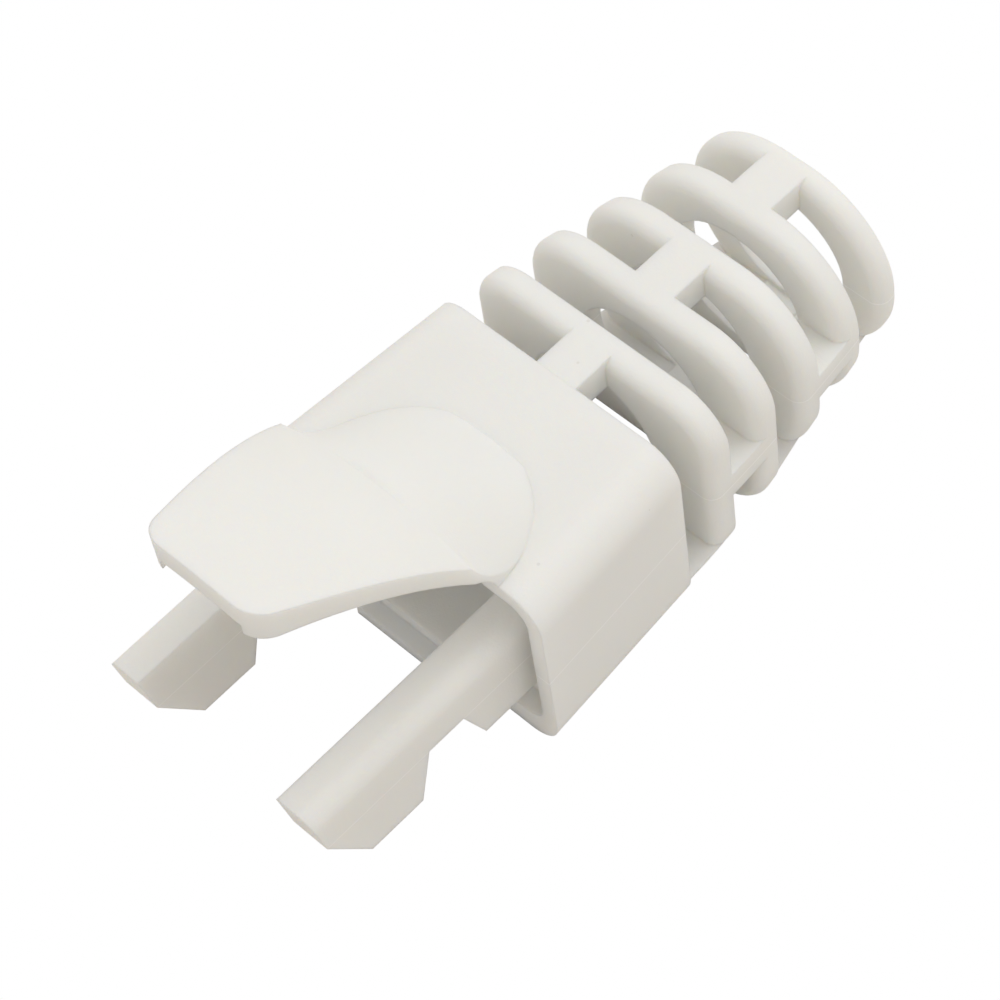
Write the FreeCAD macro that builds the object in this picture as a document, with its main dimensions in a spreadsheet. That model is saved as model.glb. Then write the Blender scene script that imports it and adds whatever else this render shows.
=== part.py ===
import FreeCAD, Part
import math
import os
import Sketcher

# Snap-in strain relief boot for a modular plug, moulded as one piece.
# Frame: X across the boot, Y along the cable away from the plug, Z up.  The
# sketches measure from the middle of the rim that meets the plug, at the
# level of the underside; the finished body is placed so that its origin is
# the middle of the box's flat underside.  Millimetres throughout.

os.makedirs("parts", exist_ok=True)
doc = FreeCAD.newDocument("strain_relief_boot")

# ---------------------------------------------------------------- dimensions
DIMENSIONS = [
    # box: the hollow block behind the plug
    ("box_length", 8.15, "front rim to rear wall"),
    ("box_front_half_width", 6.8, "at the parting line"),
    ("box_rear_half_width", 6.2, "at the parting line"),
    ("box_height", 9.5, "underside to top"),
    ("box_corner", 1.5, "long corner radius"),
    ("parting_height", 4.75, "mould parting plane"),
    # front of the box
    ("rim_wall", 0.7, "rim thickness at the parting line"),
    ("rim_depth", 0.9, "recess inside the rim"),
    ("rim_corner", 0.9, "inside corner of the recess"),
    ("floor_thickness", 1.15, "under the channel"),
    ("roof_thickness", 1.2, "over the channel"),
    ("channel_half_width", 3.4, "room for the cable jacket"),
    ("channel_corner", 0.6, "inside corner of the channel"),
    ("rear_wall", 1.2, "box rear wall round the bore"),
    ("lip_length", 0.75, "tongue under the plug"),
    ("lip_thickness", 0.55, "tongue under the plug"),
    ("lip_half_width", 3.4, "tongue under the plug"),
    # sleeve: the slotted flexible part round the cable
    ("rib_pitch", 2.75, "one rib and one slot"),
    ("slot_width", 1.6, "gap along the cable"),
    ("bore_radius", 3.3, "cable hole"),
    ("exit_radius", 3.1, "hole in the end ring, closer round the cable"),
    ("sleeve_root_half_width", 6.15, "where it leaves the box"),
    ("sleeve_root_corner", 1.7, "where it leaves the box"),
    ("sleeve_first_half_width", 6.1, "at the back of the first rib"),
    ("sleeve_first_corner", 2.2, "at the back of the first rib"),
    ("sleeve_third_half_width", 5.65, "at the back of the third rib"),
    ("sleeve_third_corner", 3.7, "at the back of the third rib"),
    ("sleeve_half_height", 4.7, "root to third rib"),
    ("ring_half_width", 4.95, "end ring"),
    ("ring_half_height", 4.6, "end ring"),
    ("ring_corner", 4.4, "end ring, a little under its half height"),
    ("ring_length", 1.1, "end ring along the cable"),
    ("web_half_width", 1.0, "web over the first, third and fifth slots"),
    ("web_floor", 1.5, "height of the floor of those slots"),
    ("side_web_top", 5.45, "side webs of the second and fourth slots"),
    ("side_web_bottom", 4.1, "side webs of the second and fourth slots"),
    ("rib_round", 0.55, "leading outer edge of each rib"),
    ("ring_round", 0.35, "trailing outer edge of the end ring"),
    # hood: the arched guard over the plug's latch
    ("hood_dome_radius", 4.8, "plan radius on top of the box"),
    ("hood_dome_end", 4.4, "last station of the dome, behind the rim"),
    ("hood_crown_rise", 3.2, "crown over the rim, above the box's top"),
    ("hood_seat_at", 0.35, "station behind the rim, where the sides meet the box"),
    ("hood_seat_edge", 10.0, "seat station"),
    ("hood_root_at", 1.0, "station ahead of the rim"),
    ("hood_root_half_width", 4.9, "root station"),
    ("hood_root_edge", 11.95, "root station"),
    ("hood_root_crown", 13.0, "root station"),
    ("hood_mid_at", 3.67, "station ahead of the rim"),
    ("hood_mid_half_width", 4.25, "middle station"),
    ("hood_mid_edge", 13.95, "middle station"),
    ("hood_mid_crown", 14.5, "middle station"),
    ("hood_fore_at", 6.33, "station ahead of the rim"),
    ("hood_fore_half_width", 3.55, "fore station"),
    ("hood_fore_edge", 15.25, "fore station"),
    ("hood_fore_crown", 15.5, "fore station"),
    ("hood_tip_at", 9.0, "station ahead of the rim"),
    ("hood_tip_half_width", 2.75, "tip station"),
    ("hood_tip_edge", 16.3, "tip station"),
    ("hood_tip_crown", 16.4, "tip station"),
    ("hood_tip_corner", 1.2, "plan corner radius at the tip"),
    ("hood_wall", 0.9, "top and side thickness"),
    ("skirt_root_height", 11.0, "underside of the skirt at the root station"),
    ("skirt_tip_height", 14.65, "underside of the skirt at the tip"),
    ("skirt_root_radius", 3.0, "sweep of the skirt up from the rim"),
    ("skirt_radius", 14.3, "sweep of the skirt to the tip"),
    # arms: the two snap hooks that enter the plug
    ("arm_inner", 3.67, "inner face from the middle"),
    ("arm_outer", 5.38, "outer face from the middle"),
    ("arm_top", 7.05, "height of the top face"),
    ("arm_tip_at", 10.63, "top of the tip ahead of the rim"),
    ("arm_nose_at", 10.2, "bottom of the nose ahead of the rim"),
    ("hook_front_at", 8.34, "front of the hook's flat"),
    ("hook_rear_at", 5.67, "back of the hook's flat"),
    ("hook_height", 2.1, "height of the hook's flat"),
    ("notch_front_at", 4.9, "front of the latching notch"),
    ("notch_rear_at", 3.1, "back of the latching notch"),
    ("pad_front_at", 2.2, "front of the stop pad"),
    ("pad_height", 2.65, "height of the stop pad's underside"),
    ("arm_round", 0.8, "outer top edge"),
    ("arm_root", 1.0, "how far the arm runs into the box wall"),
]

dims = doc.addObject("Spreadsheet::Sheet", "dims")
for row, (alias, value, note) in enumerate(DIMENSIONS, start=1):
    dims.set("A%d" % row, alias)
    dims.set("B%d" % row, str(value))
    dims.set("C%d" % row, note)
    dims.setAlias("B%d" % row, alias)
doc.recompute()

boot = doc.addObject("PartDesign::Body", "boot")
boot.Label = "boot"

BASE_PLANES = {feature.Role: feature for feature in boot.Origin.OriginFeatures}
START, END = 1, 2


def value_of(expression):
    """Current value of an expression over the sheet."""
    result = boot.evalExpression(expression)
    return float(getattr(result, "Value", result))


def new_sketch(name, plane, offset=None):
    """Empty sketch on one of the body's base planes, offset along its normal."""
    sketch = boot.newObject("Sketcher::SketchObject", name)
    sketch.AttachmentSupport = [(BASE_PLANES[plane], "")]
    sketch.MapMode = "FlatFace"
    if offset is not None:
        sketch.setExpression(".AttachmentOffset.Base.z", offset)
    return sketch


def bind(sketch, constraint, expression):
    """Add one dimension to a sketch and drive it from the sheet."""
    index = sketch.addConstraint(constraint)
    sketch.setExpression("Constraints[%d]" % index, expression)


def pin(sketch, edge, point, across, up):
    """Place one end of an edge by its two coordinates."""
    bind(sketch, Sketcher.Constraint("DistanceX", -1, 1, edge, point, value_of(across)), across)
    bind(sketch, Sketcher.Constraint("DistanceY", -1, 1, edge, point, value_of(up)), up)


def polygon(sketch, corners):
    """Closed straight-sided outline through corners given as expressions."""
    points = [FreeCAD.Vector(value_of(a), value_of(b), 0) for a, b in corners]
    first = sketch.GeometryCount
    for index, point in enumerate(points):
        sketch.addGeometry(Part.LineSegment(point, points[(index + 1) % len(points)]), False)
    for index in range(len(points)):
        following = first + (index + 1) % len(points)
        sketch.addConstraint(Sketcher.Constraint("Coincident", first + index, END, following, START))
    for index, (across, up) in enumerate(corners):
        pin(sketch, first + index, START, across, up)
    return first


def rounded_box(name, station, half_width, bottom, top, corner):
    """Cross-section with four round corners on a plane square to the cable."""
    sketch = new_sketch(name, "XZ_Plane", "-(%s)" % station)
    half, low, high = value_of(half_width), value_of(bottom), value_of(top)
    radius = value_of(corner)
    inner = half - radius
    vector = FreeCAD.Vector
    quarter = math.pi / 2

    def arc(across, up, begin):
        circle = Part.Circle(vector(across, up, 0), vector(0, 0, 1), radius)
        return Part.ArcOfCircle(circle, begin * quarter, (begin + 1) * quarter)

    for edge in (
        Part.LineSegment(vector(-inner, low, 0), vector(inner, low, 0)),
        arc(inner, low + radius, 3),
        Part.LineSegment(vector(half, low + radius, 0), vector(half, high - radius, 0)),
        arc(inner, high - radius, 0),
        Part.LineSegment(vector(inner, high, 0), vector(-inner, high, 0)),
        arc(-inner, high - radius, 1),
        Part.LineSegment(vector(-half, high - radius, 0), vector(-half, low + radius, 0)),
        arc(-inner, low + radius, 2),
    ):
        sketch.addGeometry(edge, False)
    for line in (0, 2, 4, 6):
        sketch.addConstraint(Sketcher.Constraint("Tangent", line, END, line + 1, START))
        sketch.addConstraint(Sketcher.Constraint("Tangent", line + 1, END, (line + 2) % 8, START))
    for arc_index in (3, 5, 7):
        sketch.addConstraint(Sketcher.Constraint("Equal", 1, arc_index))
    sketch.addConstraint(Sketcher.Constraint("Horizontal", 0))
    sketch.addConstraint(Sketcher.Constraint("Vertical", 2))
    bind(sketch, Sketcher.Constraint("Radius", 1, radius), corner)
    bind(sketch, Sketcher.Constraint("DistanceY", -1, 1, 0, START, low), bottom)
    bind(sketch, Sketcher.Constraint("DistanceY", -1, 1, 4, START, high), top)
    bind(sketch, Sketcher.Constraint("DistanceX", -1, 1, 2, START, half), half_width)
    bind(sketch, Sketcher.Constraint("DistanceX", -1, 1, 6, START, -half), "-(%s)" % half_width)
    return sketch


def arch(name, station, half_width, base, edge, crown):
    """Cross-section with upright sides and a shallow round top."""
    sketch = new_sketch(name, "XZ_Plane", "-(%s)" % station)
    half, low, side, high = (value_of(item) for item in (half_width, base, edge, crown))
    vector = FreeCAD.Vector
    sketch.addGeometry(Part.LineSegment(vector(-half, low, 0), vector(half, low, 0)), False)
    sketch.addGeometry(Part.LineSegment(vector(half, low, 0), vector(half, side, 0)), False)
    top = Part.Arc(vector(half, side, 0), vector(0, high, 0), vector(-half, side, 0))
    sketch.addGeometry(top, False)
    sketch.addGeometry(Part.LineSegment(vector(-half, side, 0), vector(-half, low, 0)), False)
    for first in range(4):
        sketch.addConstraint(Sketcher.Constraint("Coincident", first, END, (first + 1) % 4, START))
    pin(sketch, 0, START, "-(%s)" % half_width, base)
    pin(sketch, 1, START, half_width, base)
    pin(sketch, 2, START, half_width, edge)
    pin(sketch, 3, START, "-(%s)" % half_width, edge)
    rise = "((%s) - (%s))" % (crown, edge)
    radius = "((%s)^2 + %s^2) / (2 * %s)" % (half_width, rise, rise)
    bind(sketch, Sketcher.Constraint("Radius", 2, value_of(radius)), radius)
    return sketch


def loft(name, sections, kind="PartDesign::AdditiveLoft", ruled=False):
    """Skin a row of cross-sections."""
    feature = boot.newObject(kind, name)
    feature.Profile = sections[0]
    feature.Sections = sections[1:]
    feature.Ruled = ruled
    doc.recompute()
    return feature


def edges_where(feature, wanted):
    """Names of the feature's edges that answer the test."""
    return ["Edge%d" % number for number, edge in enumerate(feature.Shape.Edges, start=1) if wanted(edge)]


def fillet(name, base, wanted, radius):
    """Round the edges that answer the test."""
    names = edges_where(base, wanted)
    if not names:
        raise RuntimeError(name + " found no edges")
    feature = boot.newObject("PartDesign::Fillet", name)
    feature.Base = (base, names)
    feature.setExpression("Radius", radius)
    doc.recompute()
    return feature


def cut(name, sketch, reversed_=False, symmetric=False, depth=None):
    """Pocket a sketch, through everything unless a depth is given."""
    before = boot.Shape.Volume
    feature = boot.newObject("PartDesign::Pocket", name)
    feature.Profile = sketch
    feature.SideType = "Symmetric" if symmetric else "One side"
    feature.Reversed = reversed_
    if depth is None:
        feature.Type = "ThroughAll"
    else:
        feature.setExpression("Length", depth)
    doc.recompute()
    if not feature.Shape.Volume < before - 0.001:
        raise RuntimeError(name + " cut nothing")
    return feature


def repeat_along_cable(name, feature, sketch, length, count):
    """Repeat a cut at even steps along the cable."""
    pattern = boot.newObject("PartDesign::LinearPattern", name)
    pattern.Originals = [feature]
    pattern.Direction = (sketch, ["V_Axis"])
    pattern.setExpression("Length", length)
    pattern.Occurrences = count
    boot.Tip = pattern
    doc.recompute()
    return pattern


# ----------------------------------------------------------------------- box
box_sketch = new_sketch("box_sketch", "XY_Plane")
polygon(box_sketch, [
    ("-dims.box_front_half_width", "0"),
    ("dims.box_front_half_width", "0"),
    ("dims.box_rear_half_width", "dims.box_length"),
    ("-dims.box_rear_half_width", "dims.box_length"),
])
box = boot.newObject("PartDesign::Pad", "box")
box.Profile = box_sketch
box.setExpression("Length", "dims.box_height")
doc.recompute()


def is_long_edge(edge):
    """The box's four long edges, along the cable."""
    return edge.BoundBox.YLength > dims.box_length / 2


box_rounded = fillet("box_rounded", box, is_long_edge, "dims.box_corner")

# -------------------------------------------------------------------- sleeve
# The outside passes smoothly from the box's rounded rectangle to the round
# end ring; the slots are cut through it afterwards.
AXIS = "dims.parting_height"
FIRST_RIB_BACK = "(dims.box_length + dims.rib_pitch)"
THIRD_RIB_BACK = "(dims.box_length + 3 * dims.rib_pitch)"
RING_FRONT = "(dims.box_length + 4 * dims.rib_pitch + dims.slot_width)"
SLEEVE_END = "(%s + dims.ring_length)" % RING_FRONT
LOW = "(%s - dims.sleeve_half_height)" % AXIS
HIGH = "(%s + dims.sleeve_half_height)" % AXIS
RING_LOW = "(%s - dims.ring_half_height)" % AXIS
RING_HIGH = "(%s + dims.ring_half_height)" % AXIS

sleeve = loft("sleeve", [
    rounded_box("sleeve_root", "(dims.box_length - dims.rear_wall / 2)", "dims.sleeve_root_half_width",
                LOW, HIGH, "dims.sleeve_root_corner"),
    rounded_box("sleeve_first", FIRST_RIB_BACK, "dims.sleeve_first_half_width",
                LOW, HIGH, "dims.sleeve_first_corner"),
    rounded_box("sleeve_third", THIRD_RIB_BACK, "dims.sleeve_third_half_width",
                LOW, HIGH, "dims.sleeve_third_corner"),
    rounded_box("sleeve_end", SLEEVE_END, "dims.ring_half_width",
                RING_LOW, RING_HIGH, "dims.ring_corner"),
])

# Slots 1, 3 and 5 are open at the top and sides, down to the floor web, with
# a narrow web left along the top.
side_slot_sketch = new_sketch("side_slot_sketch", "XY_Plane", "dims.web_floor")
SLOT_START = "dims.box_length"
SLOT_STOP = "(dims.box_length + dims.slot_width)"
BEYOND = "(2 * dims.box_front_half_width)"
for side in ("", "-"):
    polygon(side_slot_sketch, [
        (side + "dims.web_half_width", SLOT_START),
        (side + BEYOND, SLOT_START),
        (side + BEYOND, SLOT_STOP),
        (side + "dims.web_half_width", SLOT_STOP),
    ])
side_slot = cut("side_slot", side_slot_sketch, reversed_=True)
side_slots = repeat_along_cable("side_slots", side_slot, side_slot_sketch, "4 * dims.rib_pitch", 3)

# Slots 2 and 4 are open at the top and underside, with a web left at each side.
cross_slot_sketch = new_sketch("cross_slot_sketch", "YZ_Plane")
CROSS_START = "(dims.box_length + dims.rib_pitch)"
CROSS_STOP = "(dims.box_length + dims.rib_pitch + dims.slot_width)"
for inner, outer in (("dims.side_web_top", "(2 * dims.box_height)"),
                     ("dims.side_web_bottom", "-dims.box_height")):
    polygon(cross_slot_sketch, [
        (CROSS_START, inner),
        (CROSS_STOP, inner),
        (CROSS_STOP, outer),
        (CROSS_START, outer),
    ])
cross_slot = cut("cross_slot", cross_slot_sketch, symmetric=True)
cross_slots = boot.newObject("PartDesign::LinearPattern", "cross_slots")
cross_slots.Originals = [cross_slot]
cross_slots.Direction = (cross_slot_sketch, ["H_Axis"])
cross_slots.setExpression("Length", "2 * dims.rib_pitch")
cross_slots.Occurrences = 2
boot.Tip = cross_slots
doc.recompute()

RIB_FRONTS = [
    dims.box_length + index * dims.rib_pitch + dims.slot_width
    for index in range(5)
]
TOLERANCE = 0.01


def is_leading_edge(edge):
    """Outer edges of the rib faces that look towards the plug, leaving out
    the straight lines where a rib meets its webs."""
    span = edge.BoundBox
    if span.YLength > TOLERANCE:
        return False
    if not any(abs(span.Center.y - front) < TOLERANCE for front in RIB_FRONTS):
        return False
    if span.XLength < TOLERANCE and abs(abs(span.Center.x) - dims.web_half_width) < TOLERANCE:
        return False
    if span.ZLength < TOLERANCE:
        for level in (dims.web_floor, dims.side_web_top, dims.side_web_bottom):
            if abs(span.Center.z - level) < TOLERANCE:
                return False
    return True


ribs_rounded = fillet("ribs_rounded", cross_slots, is_leading_edge, "dims.rib_round")


def is_ring_back_edge(edge):
    """Outer edge of the end ring's back face."""
    span = edge.BoundBox
    return span.YLength < TOLERANCE and abs(span.Center.y - value_of(SLEEVE_END)) < TOLERANCE


ring_rounded = fillet("ring_rounded", ribs_rounded, is_ring_back_edge, "dims.ring_round")

# ---------------------------------------------------------------------- hood
# Two skins meet at the root station: one runs out to the tip, the other back
# over a dome whose plan on top of the box is a half circle about the middle
# of the rim.
SEAT = "(dims.box_height - dims.roof_thickness / 2)"
CEILING = "(dims.box_height - dims.roof_thickness)"
DOME_STATIONS = 3


def hood_section(prefix, label, inset, base, reach="0"):
    """Hood cross-section at a named station ahead of the rim, its sides and
    top brought in by the inset."""
    stem = "dims.hood_" + label
    return arch(prefix + label, "(-%s_at - %s)" % (stem, reach), "(%s_half_width - %s)" % (stem, inset), base,
                "(%s_edge - %s)" % (stem, inset), "(%s_crown - %s)" % (stem, inset))


def dome_section(name, station, inset, base, edge="dims.box_height"):
    """Dome cross-section at a station behind the rim."""
    half = "(sqrt(dims.hood_dome_radius^2 - (%s)^2) - %s)" % (station, inset)
    rise = "dims.hood_crown_rise * (1 - (%s) / dims.hood_dome_radius)" % station
    return arch(name, station, half, base, "(%s - %s)" % (edge, inset),
                "(dims.box_height + %s - %s)" % (rise, inset))


def hood_sections(prefix, inset, base, reach="0"):
    """The two rows of cross-sections: tip to root, and root to the dome's back."""
    front = [
        hood_section(prefix, "tip", inset, base, reach),
        hood_section(prefix, "fore", inset, base),
        hood_section(prefix, "mid", inset, base),
        hood_section(prefix, "root", inset, base),
    ]
    back = [front[-1], dome_section(prefix + "seat", "dims.hood_seat_at", inset, base, "dims.hood_seat_edge")]
    for number in range(1, DOME_STATIONS + 1):
        station = "(dims.hood_seat_at + (dims.hood_dome_end - dims.hood_seat_at) * %d / %d)" % (number, DOME_STATIONS)
        back.append(dome_section(prefix + "dome_%d" % number, station, inset, base))
    return front, back


hood_front_sections, hood_back_sections = hood_sections("hood_", "0", SEAT)
hood_back = loft("hood_back", hood_back_sections)
hood_front = loft("hood_front", hood_front_sections)


def is_tip_corner(edge):
    """The two upright corners of the hood's tip."""
    span = edge.BoundBox
    at_tip = abs(span.Center.y + dims.hood_tip_at) < TOLERANCE and span.YLength < TOLERANCE
    return at_tip and span.XLength < TOLERANCE < span.ZLength


hood_tip_rounded = fillet("hood_tip_rounded", hood_front, is_tip_corner, "dims.hood_tip_corner")

# Underside of the skirt, sweeping up from the rim and out to the tip.
skirt_sketch = new_sketch("skirt_sketch", "YZ_Plane")
AHEAD = "(-2 * dims.hood_tip_at)"


def sweep(start, finish, radius):
    """Arc between two points given as expressions, bulging upwards."""
    (y_start, z_start), (y_end, z_end) = [[value_of(item) for item in point] for point in (start, finish)]
    size = value_of(radius)
    chord = math.hypot(y_end - y_start, z_end - z_start)
    rise = size - math.sqrt(size ** 2 - (chord / 2) ** 2)
    across, up = (y_end - y_start) / chord, (z_end - z_start) / chord
    middle = FreeCAD.Vector((y_start + y_end) / 2 + rise * up, (z_start + z_end) / 2 - rise * across, 0)
    return Part.Arc(FreeCAD.Vector(y_start, z_start, 0), middle, FreeCAD.Vector(y_end, z_end, 0))


rim_point = ("0", "dims.box_height")
root_point = ("-dims.hood_root_at", "dims.skirt_root_height")
tip_point = ("-dims.hood_tip_at", "dims.skirt_tip_height")
outline = [rim_point, root_point, tip_point, (AHEAD, "dims.skirt_tip_height"),
           (AHEAD, "0"), ("0", "0")]
points = [FreeCAD.Vector(value_of(a), value_of(b), 0) for a, b in outline]
skirt_sketch.addGeometry(sweep(rim_point, root_point, "dims.skirt_root_radius"), False)
skirt_sketch.addGeometry(sweep(root_point, tip_point, "dims.skirt_radius"), False)
for index in range(2, len(points)):
    skirt_sketch.addGeometry(Part.LineSegment(points[index], points[(index + 1) % len(points)]), False)
for index in range(len(points)):
    following = (index + 1) % len(points)
    skirt_sketch.addConstraint(Sketcher.Constraint("Coincident", index, END, following, START))
for index, (across, up) in enumerate(outline):
    pin(skirt_sketch, index, START, across, up)
for index, radius in ((0, "dims.skirt_root_radius"), (1, "dims.skirt_radius")):
    bind(skirt_sketch, Sketcher.Constraint("Radius", index, value_of(radius)), radius)
skirt = cut("skirt", skirt_sketch, symmetric=True)

# Hollow under the hood, open ahead of the rim and down into the channel.
hollow_front_sections, hollow_back_sections = hood_sections(
    "hollow_", "dims.hood_wall", CEILING, "dims.hood_wall")
hollow_back = loft("hollow_back", hollow_back_sections, "PartDesign::SubtractiveLoft")
hollow_front = loft("hollow_front", hollow_front_sections, "PartDesign::SubtractiveLoft")

# ------------------------------------------------------------- front openings
recess_sketch = rounded_box(
    "recess_sketch", "0", "(dims.box_front_half_width - dims.rim_wall)",
    "dims.floor_thickness", "(dims.box_height - dims.rim_wall)", "dims.rim_corner")
recess = cut("recess", recess_sketch, depth="dims.rim_depth")

channel_sketch = rounded_box(
    "channel_sketch", "0", "dims.channel_half_width",
    "dims.floor_thickness", CEILING, "dims.channel_corner")
channel = cut("channel", channel_sketch, depth="dims.box_length - dims.rear_wall")

BORE_START = "(dims.box_length - 2 * dims.rear_wall)"


def round_hole(name, radius, depth=None):
    """Round hole on the cable's axis, from inside the channel backwards."""
    sketch = new_sketch(name + "_sketch", "XZ_Plane", "-" + BORE_START)
    circle = Part.Circle(FreeCAD.Vector(0, value_of(AXIS), 0), FreeCAD.Vector(0, 0, 1), value_of(radius))
    sketch.addGeometry(circle, False)
    sketch.addConstraint(Sketcher.Constraint("PointOnObject", 0, 3, -2))
    bind(sketch, Sketcher.Constraint("DistanceY", -1, 1, 0, 3, value_of(AXIS)), AXIS)
    bind(sketch, Sketcher.Constraint("Radius", 0, value_of(radius)), radius)
    return cut(name, sketch, depth=depth)


bore = round_hole("bore", "dims.bore_radius", "%s - %s" % (RING_FRONT, BORE_START))
ring_exit = round_hole("ring_exit", "dims.exit_radius")

lip_sketch = new_sketch("lip_sketch", "XY_Plane")
polygon(lip_sketch, [
    ("-dims.lip_half_width", "-dims.lip_length"),
    ("dims.lip_half_width", "-dims.lip_length"),
    ("dims.lip_half_width", "dims.rim_depth"),
    ("-dims.lip_half_width", "dims.rim_depth"),
])
lip = boot.newObject("PartDesign::Pad", "lip")
lip.Profile = lip_sketch
lip.setExpression("Length", "dims.lip_thickness")
doc.recompute()

# ---------------------------------------------------------------------- arms
arm_sketch = new_sketch("arm_sketch", "YZ_Plane", "dims.arm_inner")
ARM_BACK = "(dims.rim_depth + dims.arm_root)"
polygon(arm_sketch, [
    ("-dims.arm_tip_at", "dims.arm_top"),
    ("-dims.arm_nose_at", "dims.parting_height"),
    ("-dims.hook_front_at", "dims.hook_height"),
    ("-dims.hook_rear_at", "dims.hook_height"),
    ("-dims.notch_front_at", "dims.parting_height"),
    ("-dims.notch_rear_at", "dims.parting_height"),
    ("-dims.pad_front_at", "dims.pad_height"),
    (ARM_BACK, "dims.pad_height"),
    (ARM_BACK, "dims.arm_top"),
])
arm = boot.newObject("PartDesign::Pad", "arm")
arm.Profile = arm_sketch
arm.setExpression("Length", "dims.arm_outer - dims.arm_inner")
doc.recompute()
arms = boot.newObject("PartDesign::Mirrored", "arms")
arms.Originals = [arm]
arms.MirrorPlane = (BASE_PLANES["YZ_Plane"], [""])
boot.Tip = arms
doc.recompute()


def is_arm_shoulder(edge):
    """Outer top edges of the two arms."""
    span = edge.BoundBox
    outer = abs(abs(span.Center.x) - dims.arm_outer) < TOLERANCE
    top = abs(span.Center.z - dims.arm_top) < TOLERANCE
    return outer and top and span.YLength > dims.arm_tip_at / 2


arms_rounded = fillet("arms_rounded", arms, is_arm_shoulder, "dims.arm_round")

# The origin of the finished part is the middle of the box's underside.
boot.setExpression(".Placement.Base.y", "-dims.box_length / 2")
doc.recompute()

# --------------------------------------------------------------- check, write
for item in doc.Objects:
    for state in item.State:
        if state in ("Invalid", "Error"):
            raise RuntimeError("%s is %s" % (item.Name, state))
if boot.Shape.isNull() or not boot.Shape.isValid():
    raise RuntimeError("boot has no valid shape")
if len(boot.Shape.Solids) != 1:
    raise RuntimeError("boot is %d solids, not one" % len(boot.Shape.Solids))
boot.Shape.exportStep("parts/boot.step")
print("boot: %.1f mm3" % boot.Shape.Volume)
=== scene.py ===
import math

import bpy
from mathutils import Matrix, Vector


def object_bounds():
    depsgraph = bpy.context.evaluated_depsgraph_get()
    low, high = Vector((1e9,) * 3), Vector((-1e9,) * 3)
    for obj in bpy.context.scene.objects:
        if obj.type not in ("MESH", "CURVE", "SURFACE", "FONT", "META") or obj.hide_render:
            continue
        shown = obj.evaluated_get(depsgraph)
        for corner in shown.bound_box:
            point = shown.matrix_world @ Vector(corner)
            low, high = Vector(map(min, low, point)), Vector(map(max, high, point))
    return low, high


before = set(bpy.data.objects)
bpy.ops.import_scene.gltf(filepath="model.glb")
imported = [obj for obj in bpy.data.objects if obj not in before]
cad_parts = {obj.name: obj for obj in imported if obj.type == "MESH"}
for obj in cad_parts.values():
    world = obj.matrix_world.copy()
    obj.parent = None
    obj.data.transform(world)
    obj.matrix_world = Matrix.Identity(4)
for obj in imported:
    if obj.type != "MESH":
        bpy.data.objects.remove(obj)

# Studio scene for a moulded strain relief boot.  The boot lies on its flat
# underside with +Y along the cable; lengths are metres, in the CAD's frame.

MM = 0.001

cad_low, cad_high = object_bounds()

# ------------------------------------------------------------------ the object
# The CAD's own node is the visual: its shape is right and only its material is new.
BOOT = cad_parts["boot"]
PARTING_HEIGHT = 4.75 * MM       # the mould's halves meet on this level
FLASH_HALF_WIDTH = 0.045 * MM    # thin ridge that the mould's joint leaves
FLASH_RISE = 0.05 * MM
EDGE_RADIUS = 0.14 * MM          # softness of every moulded edge

# --------------------------------------------------------------------- surface
DRIFT_SIZE = 6 * MM
SPECK_SPACING = 2.4 * MM
SPECK_REACH = 0.03               # share of the spacing that a speck covers
SPECK_SHARE = 0.2                # how much of the speck's colour shows
FLASH_HIGHLIGHT_SHARE = 0.7                # how much paler the painted highlight makes the flash line
GRAIN_SIZE = 0.11 * MM
GRAIN_DEPTH = 0.02 * MM
SHEEN_SIZE = 0.4 * MM
SHEEN_LOW, SHEEN_HIGH = 0.48, 0.6
LIGHT_REACH = 1.2 * MM           # how far light wanders inside the plastic


# ------------------------------------------------------------------- materials
def linear(hex_colour):
    """RGBA for a shader socket from an sRGB hex colour."""
    channels = []
    for start in (0, 2, 4):
        value = int(hex_colour[start:start + 2], 16) / 255
        if value <= 0.04045:
            channels.append(value / 12.92)
        else:
            channels.append(((value + 0.055) / 1.055) ** 2.4)
    return (*channels, 1.0)


class Nodes:
    """Small helper that adds and joins the nodes of one material or world."""

    def __init__(self, owner):
        owner.use_nodes = True
        self.tree = owner.node_tree
        self.tree.nodes.clear()

    def add(self, kind, settings=None, **inputs):
        """New node; inputs are values, or sockets to link from."""
        node = self.tree.nodes.new("ShaderNode" + kind)
        for name, value in (settings or {}).items():
            setattr(node, name, value)
        for name, value in inputs.items():
            self.feed(node, name.replace("_", " "), value)
        return node

    def feed(self, node, socket, value):
        """Set or link one input."""
        target = node.inputs[socket]
        if isinstance(value, bpy.types.NodeSocket):
            self.tree.links.new(value, target)
        else:
            target.default_value = value

    def maths(self, operation, *values):
        """Result of a math node on values or sockets."""
        node = self.tree.nodes.new("ShaderNodeMath")
        node.operation = operation
        for index, value in enumerate(values):
            if isinstance(value, bpy.types.NodeSocket):
                self.tree.links.new(value, node.inputs[index])
            else:
                node.inputs[index].default_value = value
        return node.outputs[0]

    def noise(self, size, detail=2.0, roughness=0.5):
        """Noise value whose features are about this size across."""
        node = self.add("TexNoise", Vector=self.place, Scale=1 / size, Detail=detail, Roughness=roughness)
        return node.outputs["Fac"]

    @property
    def place(self):
        """Object coordinates, made once for each material."""
        if not hasattr(self, "_place"):
            self._place = self.add("TexCoord").outputs["Object"]
        return self._place


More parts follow.
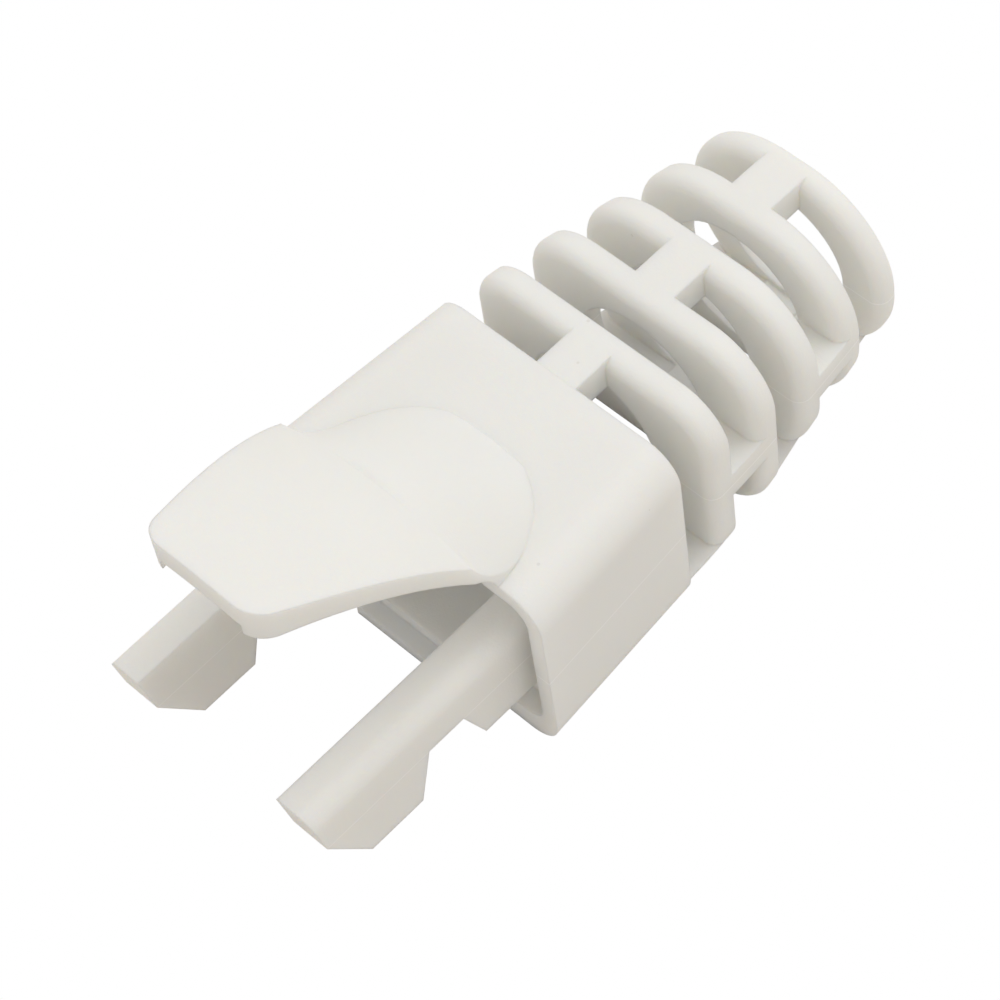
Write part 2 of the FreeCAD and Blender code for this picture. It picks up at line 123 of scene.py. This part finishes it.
def make_white_plastic():
    """Matte white plastic, a little warm, as it leaves a spark-eroded mould."""
    material = bpy.data.materials.new("white_matte_plastic")
    nodes = Nodes(material)

    # Slow drift between two whites, which keeps broad faces from looking flat.
    drift = nodes.noise(DRIFT_SIZE, detail=1.0)
    whites = nodes.add("Mix", {"data_type": "RGBA"})
    nodes.feed(whites, "Factor", drift)
    whites.inputs["A"].default_value = linear("F0F0EE")
    whites.inputs["B"].default_value = linear("EBEBE8")

    # Rare dark specks in the resin, a tenth of a millimetre across.
    cells = nodes.add("TexVoronoi", Vector=nodes.place, Scale=1 / SPECK_SPACING,
                      Randomness=1.0)
    speck = nodes.maths("LESS_THAN", cells.outputs["Distance"], SPECK_REACH)
    tinted = nodes.add("Mix", {"data_type": "RGBA"})
    nodes.feed(tinted, "Factor", nodes.maths("MULTIPLY", speck, SPECK_SHARE))
    nodes.tree.links.new(whites.outputs["Result"], tinted.inputs["A"])
    tinted.inputs["B"].default_value = linear("B9B2A6")

    # The flash line round the part where the mould's halves meet, painted paler as a painted highlight of
    # light catching its ridge.
    spread = nodes.add("SeparateXYZ", Vector=nodes.place)
    off_line = nodes.maths("ABSOLUTE", nodes.maths("SUBTRACT", spread.outputs["Z"], PARTING_HEIGHT))
    nearness = nodes.maths("MINIMUM", nodes.maths("DIVIDE", off_line, FLASH_HALF_WIDTH), 1.0)
    ridge = nodes.maths("SUBTRACT", 1.0, nearness)
    # painted highlight: the colour is mixed towards white along the flash line
    flash_highlighted = nodes.add("Mix", {"data_type": "RGBA"})
    nodes.feed(flash_highlighted, "Factor", nodes.maths("MULTIPLY", ridge, FLASH_HIGHLIGHT_SHARE))
    nodes.tree.links.new(tinted.outputs["Result"], flash_highlighted.inputs["A"])
    flash_highlighted.inputs["B"].default_value = linear("FFFFFF")

    # Fine eroded grain over the whole surface, then the flash line, on
    # softened edges.
    soft_edges = nodes.add("Bevel", {"samples": 6}, Radius=EDGE_RADIUS)
    grain = nodes.add("Bump", Height=nodes.noise(GRAIN_SIZE, detail=3.0, roughness=0.6),
                      Distance=GRAIN_DEPTH, Strength=0.5, Normal=soft_edges.outputs["Normal"])
    flash = nodes.add("Bump", Height=ridge, Distance=FLASH_RISE, Strength=0.25,
                      Normal=grain.outputs["Normal"])

    # Matte, with a slightly uneven sheen; light that enters comes out nearby,
    # which softens the shade on thin walls.
    sheen = nodes.add("MapRange", Value=nodes.noise(SHEEN_SIZE), To_Min=SHEEN_LOW, To_Max=SHEEN_HIGH)
    shader = nodes.add("BsdfPrincipled", Base_Color=flash_highlighted.outputs["Result"],
                       Roughness=sheen.outputs["Result"], Normal=flash.outputs["Normal"])
    shader.inputs["IOR"].default_value = 1.5
    shader.inputs["Specular IOR Level"].default_value = 0.35
    shader.inputs["Subsurface Weight"].default_value = 0.7
    shader.inputs["Subsurface Radius"].default_value = (1.0, 0.85, 0.65)
    shader.inputs["Subsurface Scale"].default_value = LIGHT_REACH
    output = nodes.add("OutputMaterial")
    nodes.tree.links.new(shader.outputs["BSDF"], output.inputs["Surface"])
    return material


def make_backdrop_white():
    """Pure white to the camera, pale grey paper to the light that bounces off it."""
    material = bpy.data.materials.new("backdrop_paper")
    nodes = Nodes(material)
    glow = nodes.add("Emission", Color=(1.0, 1.0, 1.0, 1.0), Strength=1.0)
    paper = nodes.add("BsdfDiffuse", Color=linear("DEDAD4"))
    ray = nodes.add("LightPath")
    choice = nodes.add("MixShader")
    nodes.tree.links.new(ray.outputs["Is Camera Ray"], choice.inputs[0])
    nodes.tree.links.new(paper.outputs["BSDF"], choice.inputs[1])
    nodes.tree.links.new(glow.outputs["Emission"], choice.inputs[2])
    output = nodes.add("OutputMaterial")
    nodes.tree.links.new(choice.outputs["Shader"], output.inputs["Surface"])
    return material


# ------------------------------------------------------------ moulded boot
BOOT.data.materials.clear()
BOOT.data.materials.append(make_white_plastic())

# ----------------------------------------------------------------------- stage
FLOOR_SIZE = 2.0
FLOOR_GAP = 0.02 * MM
bpy.ops.mesh.primitive_plane_add(size=FLOOR_SIZE, location=(0, 0, cad_low[2] - FLOOR_GAP))
floor = bpy.context.object
floor.name = "floor"
floor.data.materials.append(make_backdrop_white())

world = bpy.data.worlds.new("studio")
bpy.context.scene.world = world
sky = Nodes(world)
seen = sky.add("Background", Color=(1.0, 1.0, 1.0, 1.0), Strength=1.0)
ambient = sky.add("Background", Color=(1.0, 0.968, 0.93, 1.0), Strength=0.73)
ray = sky.add("LightPath")
choice = sky.add("MixShader")
sky.tree.links.new(ray.outputs["Is Camera Ray"], choice.inputs[0])
sky.tree.links.new(ambient.outputs["Background"], choice.inputs[1])
sky.tree.links.new(seen.outputs["Background"], choice.inputs[2])
sky_output = sky.add("OutputWorld")
sky.tree.links.new(choice.outputs["Shader"], sky_output.inputs["Surface"])


def softbox(name, position, aim, size, power, colour):
    """Square area lamp facing a point."""
    lamp = bpy.data.lights.new(name, "AREA")
    lamp.size = size
    lamp.energy = power
    lamp.color = colour
    thing = bpy.data.objects.new(name, lamp)
    bpy.context.collection.objects.link(thing)
    direction = (Vector(aim) - Vector(position)).normalized()
    thing.location = position
    thing.rotation_euler = direction.to_track_quat("-Z", "Y").to_euler()
    return thing


LAMP_OFFSET = Vector((0.02, 0.14, 0.26))
LAMP_SIZE = 0.25
LAMP_POWER = 0.27
LAMP_COLOUR = (0.95, 0.985, 1.0)
middle = Vector((0, 0, (cad_low[2] + cad_high[2]) / 2))
softbox("overhead", middle + LAMP_OFFSET, middle, LAMP_SIZE, LAMP_POWER, LAMP_COLOUR)

# ---------------------------------------------------------------------- camera
AZIMUTH = math.radians(52.44)
ELEVATION = math.radians(56.09)
ROLL = math.radians(-10.38)
DISTANCE = 135.4 * MM
LENS = 128.1
AIM = Vector((-0.14, 0.55, 4.96)) * MM

back = Vector((math.sin(AZIMUTH) * math.cos(ELEVATION),
               -math.cos(AZIMUTH) * math.cos(ELEVATION),
               math.sin(ELEVATION)))
level = Vector((math.cos(AZIMUTH), math.sin(AZIMUTH), 0))
rise = back.cross(level)
right = math.cos(ROLL) * level + math.sin(ROLL) * rise
upward = math.cos(ROLL) * rise - math.sin(ROLL) * level

camera_data = bpy.data.cameras.new("camera")
camera_data.lens = LENS
camera_data.sensor_width = 36.0
camera_data.clip_start = 0.01
camera = bpy.data.objects.new("camera", camera_data)
bpy.context.collection.objects.link(camera)
turn = Matrix((right, upward, back)).transposed().to_4x4()
camera.matrix_world = Matrix.Translation(AIM + DISTANCE * back) @ turn
bpy.context.scene.camera = camera
bpy.context.scene.view_settings.view_transform = "Standard"
